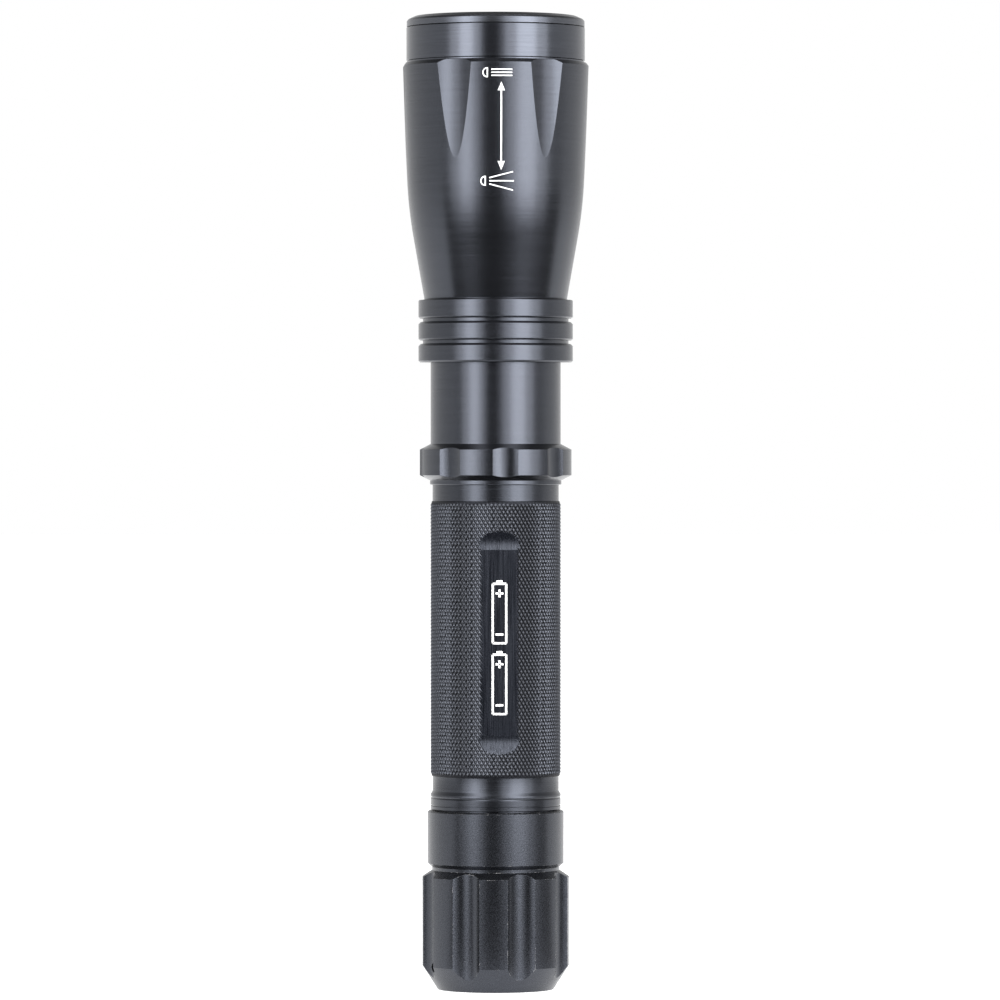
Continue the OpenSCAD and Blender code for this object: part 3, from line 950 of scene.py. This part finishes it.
def cell_sleeve():
    """Shrink sleeve of a cell: dark, with a plain copper band."""
    n = Nodes("cell_sleeve")
    place = n.place()
    wave = n.add("TexWave", bands_direction="Z", Scale=0.0095, Distortion=0.0)
    n.link(place, wave.inputs["Vector"])
    band = n.ramp(wave.outputs["Fac"], (0.03, 0.03, 0.035, 1), (0.55, 0.3, 0.12, 1), 0.55, 0.57)
    return n.set(Base_Color=band, Roughness=n.ramp(n.noise(place, 3.0), 0.25, 0.35), Coat_Weight=0.3)


def print_ink():
    """White screen print with a slightly uneven cover."""
    n = Nodes("print_ink")
    cover = n.noise(n.place(), 3.0)
    base = n.ramp(cover, (0.80, 0.80, 0.80, 1), (0.93, 0.93, 0.93, 1))
    return n.set(Base_Color=base, Roughness=n.ramp(cover, 0.45, 0.6))


MATERIALS = {
    "smooth": anodised("anodised_smooth", BLACK, 0.24, 0.41, grain=0.009, turning=0.010),
    "gloss": anodised("anodised_gloss", BLACK, 0.20, 0.50, grain=0.006, turning=0.002),
    "edge": anodised("anodised_edge", WARM_BLACK, 0.26, 0.60, grain=0.003, turning=0.002, wear_and_glint=0.15),
    "tube": anodised("anodised_tube", BLACK, 0.25, 0.34, grain=0.006, turning=0.004),
    "knurl": knurled("anodised_knurl", GRIP_R - KNURL_DEPTH, GRIP_R),
    "flat": anodised("anodised_flat", NAVY, 0.24, 0.24, grain=0.008, stretch=(1.6, 1, 0.03), streak=0.6),
    "trough": anodised("anodised_trough", NAVY, 0.28, 0.72, grain=0.010, stretch=(2.4, 1, 0.03), streak=0.35),
    "cap": anodised("anodised_cap", BLACK, 0.27, 0.36, grain=0.007, wear_and_glint=0.6),
    "rubber": moulded("black_rubber", (0.02, 0.02, 0.021, 1), 0.6),
    "seal": moulded("seal_rubber", (0.30, 0.035, 0.02, 1), 0.35),
    "boot": moulded("boot_rubber", (0.022, 0.022, 0.024, 1), 0.62, 0.01),
    "steel": metal("spring_steel", (0.6, 0.6, 0.62, 1), 0.3),
    "gold": metal("gold_plate", (0.83, 0.62, 0.28, 1), 0.25),
    "nickel": metal("nickel_plate", (0.72, 0.70, 0.66, 1), 0.3),
    "bare": metal("bare_aluminium", (0.66, 0.66, 0.68, 1), 0.35, 0.008),
    "brass": metal("brass_pill", (0.70, 0.52, 0.25, 1), 0.32, 0.008),
    "mask": moulded("white_solder_mask", (0.85, 0.85, 0.82, 1), 0.3, 0.002, 0.3),
    "board": moulded("green_board", (0.02, 0.12, 0.05, 1), 0.3, 0.002, 0.4),
    "white": moulded("white_plastic", (0.82, 0.82, 0.79, 1), 0.45),
    "plastic": moulded("black_plastic", (0.03, 0.03, 0.032, 1), 0.45),
    "chips": moulded("component_epoxy", (0.04, 0.04, 0.045, 1), 0.5),
    "wire": moulded("wire_insulation", (0.5, 0.03, 0.02, 1), 0.4),
    "lens": clear("lens_acrylic", (0.97, 0.985, 0.99, 1), 1.49),
    "dome": clear("silicone_dome", (0.98, 0.96, 0.85, 1), 1.41),
    "phosphor": phosphor(),
    "sleeve": cell_sleeve(),
    "ink": print_ink(),
}

NODE_LOOKS = {
    "front_ring": "edge", "bezel": "gloss", "head_shell": "smooth", "neck": "smooth", "battery_tube": "tube",
    "tail_cap": "cap", "lens": "lens", "lens_o_ring": "rubber", "lens_gasket": "rubber",
    "focus_o_rings": "rubber", "tube_o_ring": "seal", "tail_o_ring": "seal", "switch_boot": "boot",
    "stop_ring": "steel", "star_screws": "steel", "switch_spring": "steel", "driver_spring": "gold",
    "tail_spring": "gold", "front_contacts": "nickel", "rear_contacts": "nickel", "switch_retainer": "bare",
    "led_pill": "brass", "led_star": "mask", "led_emitter": "phosphor", "led_dome": "dome",
    "led_spacer": "white", "led_wires": "wire", "driver_board": "board", "switch_board": "board",
    "driver_parts": "chips", "front_carrier": "plastic", "rear_carrier": "plastic", "switch_body": "plastic",
    "switch_plunger": "white", "front_cells": "sleeve", "rear_cells": "sleeve",
}


def paint(obj, *looks):
    """Gives an object its materials, in slot order."""
    obj.data.materials.clear()
    for look in looks:
        obj.data.materials.append(MATERIALS[look])


# ---------------------------------------------------------------- camera and studio

# Softboxes, in metres
SOFTBOX_DISTANCE = 0.95
SOFTBOX_HEIGHT = 2.6

# Dark cards and cloths: share of light returned, and in metres how high and how far out they lie on the floor
CARD_SHADE = 0.004
CARD_LIFT = 0.001
CLOTH_LIFT = 0.0004
CLOTH_NEAR = 0.06
CLOTH_FAR = 3.0

# Floor, in millimetres: half its side, and how far it lies under the light
FLOOR_HALF = 9000
FLOOR_DROP = 0.05


def towards(azimuth, distance, height):
    """Point at an azimuth round the light: 0 is the -Y side, positive towards +X. Metres."""
    turn = math.radians(azimuth)
    return Vector((distance * math.sin(turn), -distance * math.cos(turn), height))


def aimed(location, target):
    """Matrix at a location, with -Z towards the target."""
    turn = (target - location).to_track_quat("-Z", "Y")
    return Matrix.Translation(location) @ turn.to_matrix().to_4x4()


def make_camera():
    """The camera of the photo."""
    data = bpy.data.cameras.new("camera")
    data.lens = CAMERA_LENS
    data.sensor_width = CAMERA_SENSOR
    data.clip_start = 0.05
    data.clip_end = 30
    camera = add_object("camera", data)
    location = towards(CAMERA_AZIMUTH, CAMERA_DISTANCE, CAMERA_HEIGHT)
    side = towards(CAMERA_AZIMUTH + 90, AIM_RIGHT, 0)
    camera.matrix_world = aimed(location, side + Vector((0, 0, AIM_HEIGHT)))
    bpy.context.scene.camera = camera


def softbox(name, azimuth, half_angle, radiance):
    """Upright area light that faces the light's axis. Azimuth is counted from the camera's."""
    width = 2 * SOFTBOX_DISTANCE * math.tan(math.radians(half_angle))
    data = bpy.data.lights.new(name, "AREA")
    data.shape = "RECTANGLE"
    data.size = width
    data.size_y = SOFTBOX_HEIGHT
    data.energy = radiance * width * SOFTBOX_HEIGHT * math.pi
    lamp = add_object(name, data)
    middle = SOFTBOX_HEIGHT / 2
    location = towards(CAMERA_AZIMUTH + azimuth, SOFTBOX_DISTANCE, middle)
    lamp.matrix_world = aimed(location, Vector((0, 0, middle)))
    lamp.visible_camera = False


def dark_card(name, verts, shade):
    """Unlit dark card that only the light's own reflections show, with its share of light returned."""
    card = mesh_object(name, verts, [tuple(range(len(verts)))])
    n = Nodes(name)
    tone = n.ramp(n.noise(n.place(), 0.5), shade * 0.8, shade * 1.2)
    card.data.materials.append(n.set(Base_Color=tone, Roughness=0.9, IOR=1.0))
    card.visible_camera = False
    card.visible_shadow = False
    return card


def black_card(azimuth, width, height, distance):
    """Upright card behind the camera, which the dark middle of the light reflects."""
    half = width / 2 / MM
    top = height / MM
    card = dark_card("black_card", [(-half, 0, 0), (half, 0, 0), (half, 0, top), (-half, 0, top)], CARD_SHADE)
    location = towards(CAMERA_AZIMUTH + azimuth, distance, CARD_LIFT)
    turn = Matrix.Rotation(math.radians(CAMERA_AZIMUTH + azimuth), 4, "Z")
    card.matrix_world = Matrix.Translation(location) @ turn


def floor_cloth(name, start, end, shade):
    """Sector of dark cloth on the floor in front of the light, between two azimuths from the camera's."""
    turns = [CAMERA_AZIMUTH + start + (end - start) * k / 8 for k in range(9)]
    outer = [towards(turn, CLOTH_FAR, CLOTH_LIFT) / MM for turn in turns]
    inner = [towards(turn, CLOTH_NEAR, CLOTH_LIFT) / MM for turn in reversed(turns)]
    dark_card(name, [tuple(spot) for spot in outer + inner], shade)


def studio_floor():
    """Pale floor, large enough for every view."""
    corners = [(x * FLOOR_HALF, y * FLOOR_HALF, 0) for x, y in ((-1, -1), (1, -1), (1, 1), (-1, 1))]
    floor = mesh_object("floor", corners, [(0, 1, 2, 3)])
    floor.location.z = -FLOOR_DROP * MM
    n = Nodes("floor")
    tone = n.ramp(n.noise(n.place(), 0.01), 0.64, 0.66)
    n.set(Base_Color=tone, Roughness=0.9, Emission_Color=(1, 1, 1, 1), Emission_Strength=0.88)
    floor.data.materials.append(n.material)


def studio_world():
    """White surroundings at the horizon that fall off to a dim ceiling."""
    world = bpy.data.worlds.new("studio")
    world.use_nodes = True
    bpy.context.scene.world = world
    tree = world.node_tree
    coordinates = tree.nodes.new("ShaderNodeTexCoord")
    split = tree.nodes.new("ShaderNodeSeparateXYZ")
    ramp = tree.nodes.new("ShaderNodeValToRGB")
    stops = ramp.color_ramp.elements
    stops[0].position, stops[0].color = 0.12, (1, 1, 1, 1)
    stops[1].position, stops[1].color = 0.7, (0.10, 0.10, 0.10, 1)
    tree.links.new(coordinates.outputs["Generated"], split.inputs["Vector"])
    tree.links.new(split.outputs["Z"], ramp.inputs["Fac"])
    tree.links.new(ramp.outputs["Color"], tree.nodes["Background"].inputs["Color"])
    tree.nodes["Background"].inputs["Strength"].default_value = 1.0


def build_studio():
    """Camera, floor, surroundings, lights and dark cards."""
    make_camera()
    studio_floor()
    studio_world()
    softbox("softbox_left", azimuth=-40, half_angle=21, radiance=2.6)
    softbox("softbox_left_core", azimuth=-38, half_angle=9, radiance=4.2)
    softbox("softbox_right", azimuth=41, half_angle=29, radiance=3.0)
    softbox("softbox_right_core", azimuth=40, half_angle=13, radiance=4.6)
    black_card(azimuth=-6, width=0.75, height=1.6, distance=2.0)
    floor_cloth("floor_flag", start=-72, end=30, shade=CARD_SHADE)
    floor_cloth("floor_cloth", start=30, end=95, shade=0.10)
    bpy.context.scene.view_settings.view_transform = "Standard"


# ---------------------------------------------------------------- build

SKINS = {
    "front_ring": ("focus_head", "anodised_bright_edge"),
    "bezel": ("focus_head", "anodised_smooth"),
    "head_shell": ("focus_head", "anodised_smooth"),
    "neck": ("body_tube", "anodised_smooth"),
    "tail_cap": ("tail_cap", "anodised_cap"),
}


def add_skins():
    """Round-shaded copies over the turned nodes."""
    for node, (body, slot) in SKINS.items():
        skin = round_skin(node)
        paint(skin, NODE_LOOKS[node])
        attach(skin, body)
        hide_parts(node)


def add_coil():
    """The switch spring, as a copy on a mesh of its own that rides on the tail cap."""
    coil = coil_copy("switch_spring")
    paint(coil, "steel")
    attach(coil, "tail_cap")
    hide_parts("switch_spring")
    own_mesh(coil)


def add_tube():
    """The knurled tube with its pocket."""
    tube = grip_tube()
    paint(tube, "tube", "knurl", "flat", "trough")
    subtract(tube, pocket_cutters())
    mark_tube(tube)
    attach(tube, "body_tube")
    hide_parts("battery_tube")
    return tube


def add_thread():
    """The tail end of the tube."""
    thread = tail_thread()
    shade_by_angle(thread, THREAD_CREASE)
    paint(thread, "smooth")
    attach(thread, "body_tube")
    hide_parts("battery_tube")


def add_boot():
    """The button boot, in place of its node, with its placement baked into its mesh."""
    boot = button_boot()
    shade_by_angle(boot, BOOT_CREASE)
    paint(boot, "boot")
    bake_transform(boot)
    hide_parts("switch_boot")


def add_print(marks, body):
    """Printed marks that ride on a body."""
    paint(marks, "ink")
    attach(marks, body)


build_studio()
for node_name, look in NODE_LOOKS.items():
    paint(NODES[node_name], look)
add_skins()
add_coil()
tube_piece = add_tube()
add_thread()
add_boot()
add_print(focus_marks(Surface(NODES["head_shell"])), "focus_head")
add_print(battery_marks(Surface(tube_piece)), "body_tube")
